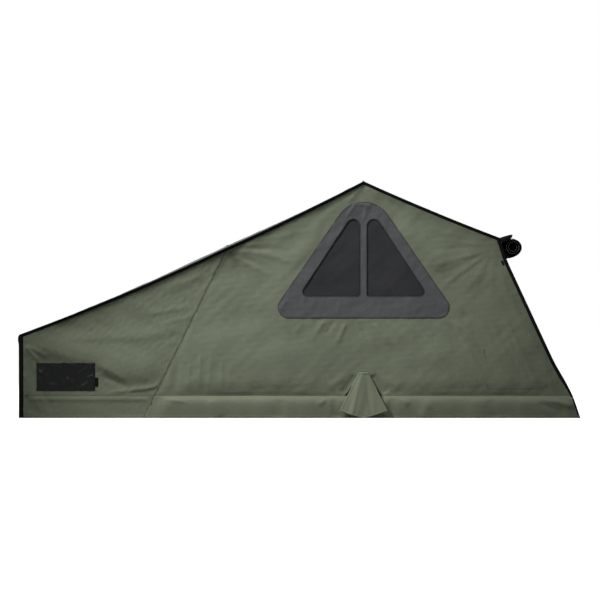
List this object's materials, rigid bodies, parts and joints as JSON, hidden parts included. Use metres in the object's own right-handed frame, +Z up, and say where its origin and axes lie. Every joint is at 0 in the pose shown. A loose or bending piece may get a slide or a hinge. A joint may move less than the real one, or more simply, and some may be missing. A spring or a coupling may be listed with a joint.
{
  "type": "rooftop tent",
  "caption": "Pitched folding rooftop tent with hinged floor, bow frame, cloth walls and roof, mesh windows, rolled door flaps and an entrance canopy.",
  "frame": {"origin": "on the fold line of the base, in the middle of its width, at the underside of its edge channels and cross beams", "axes": "+X along the tent from the canopy end to the far end wall, +Y across it away from the viewed side, +Z up"},
  "size_m": [3.095, 1.5386, 1.3069],
  "materials": {
    "floor_board": "satin",
    "frame_aluminium": "satin",
    "hinge_steel": "satin",
    "tube_aluminium": "satin",
    "olive_cloth": "matte",
    "roof_cloth": "matte",
    "mesh_cloth": "matte",
    "flap_cloth": "matte",
    "webbing": "matte",
    "window_coating": "satin",
    "binding_tape": "matte",
    "coated_patch": "gloss"
  },
  "bodies": {
    "root": {"left_floor": "floor_board", "right_floor": "floor_board", "left_base_frame": "frame_aluminium", "right_base_frame": "frame_aluminium", "mounting_rails": "frame_aluminium", "left_hinge_leaves": "hinge_steel", "right_hinge_leaves": "hinge_steel", "pivot_pins": "hinge_steel", "left_bow": "tube_aluminium", "centre_bow": "tube_aluminium", "right_bow": "tube_aluminium", "canopy_sockets": "frame_aluminium", "canopy_rails": "tube_aluminium", "canopy_hoop": "tube_aluminium", "near_wall": "olive_cloth", "far_wall": "olive_cloth", "near_canopy_wall": "olive_cloth", "far_canopy_wall": "olive_cloth", "left_roof": "roof_cloth", "right_roof": "roof_cloth", "canopy_roof": "roof_cloth", "canopy_front": "olive_cloth", "end_wall": "olive_cloth", "end_mesh": "mesh_cloth", "end_flap_roll": "flap_cloth", "end_roll_straps": "webbing", "entrance_wall": "olive_cloth", "entrance_flap_roll": "flap_cloth", "entrance_roll_straps": "webbing", "near_skirt": "olive_cloth", "far_skirt": "olive_cloth", "end_skirt": "olive_cloth", "near_window_frame": "window_coating", "far_window_frame": "window_coating", "near_window_mesh": "mesh_cloth", "far_window_mesh": "mesh_cloth", "near_binding": "binding_tape", "far_binding": "binding_tape", "near_hinge_hood": "olive_cloth", "far_hinge_hood": "olive_cloth", "canopy_patches": "coated_patch", "corner_patches": "olive_cloth", "strap_tabs": "webbing", "side_pockets": "olive_cloth", "end_visor": "flap_cloth"}
  },
  "joints": []
}
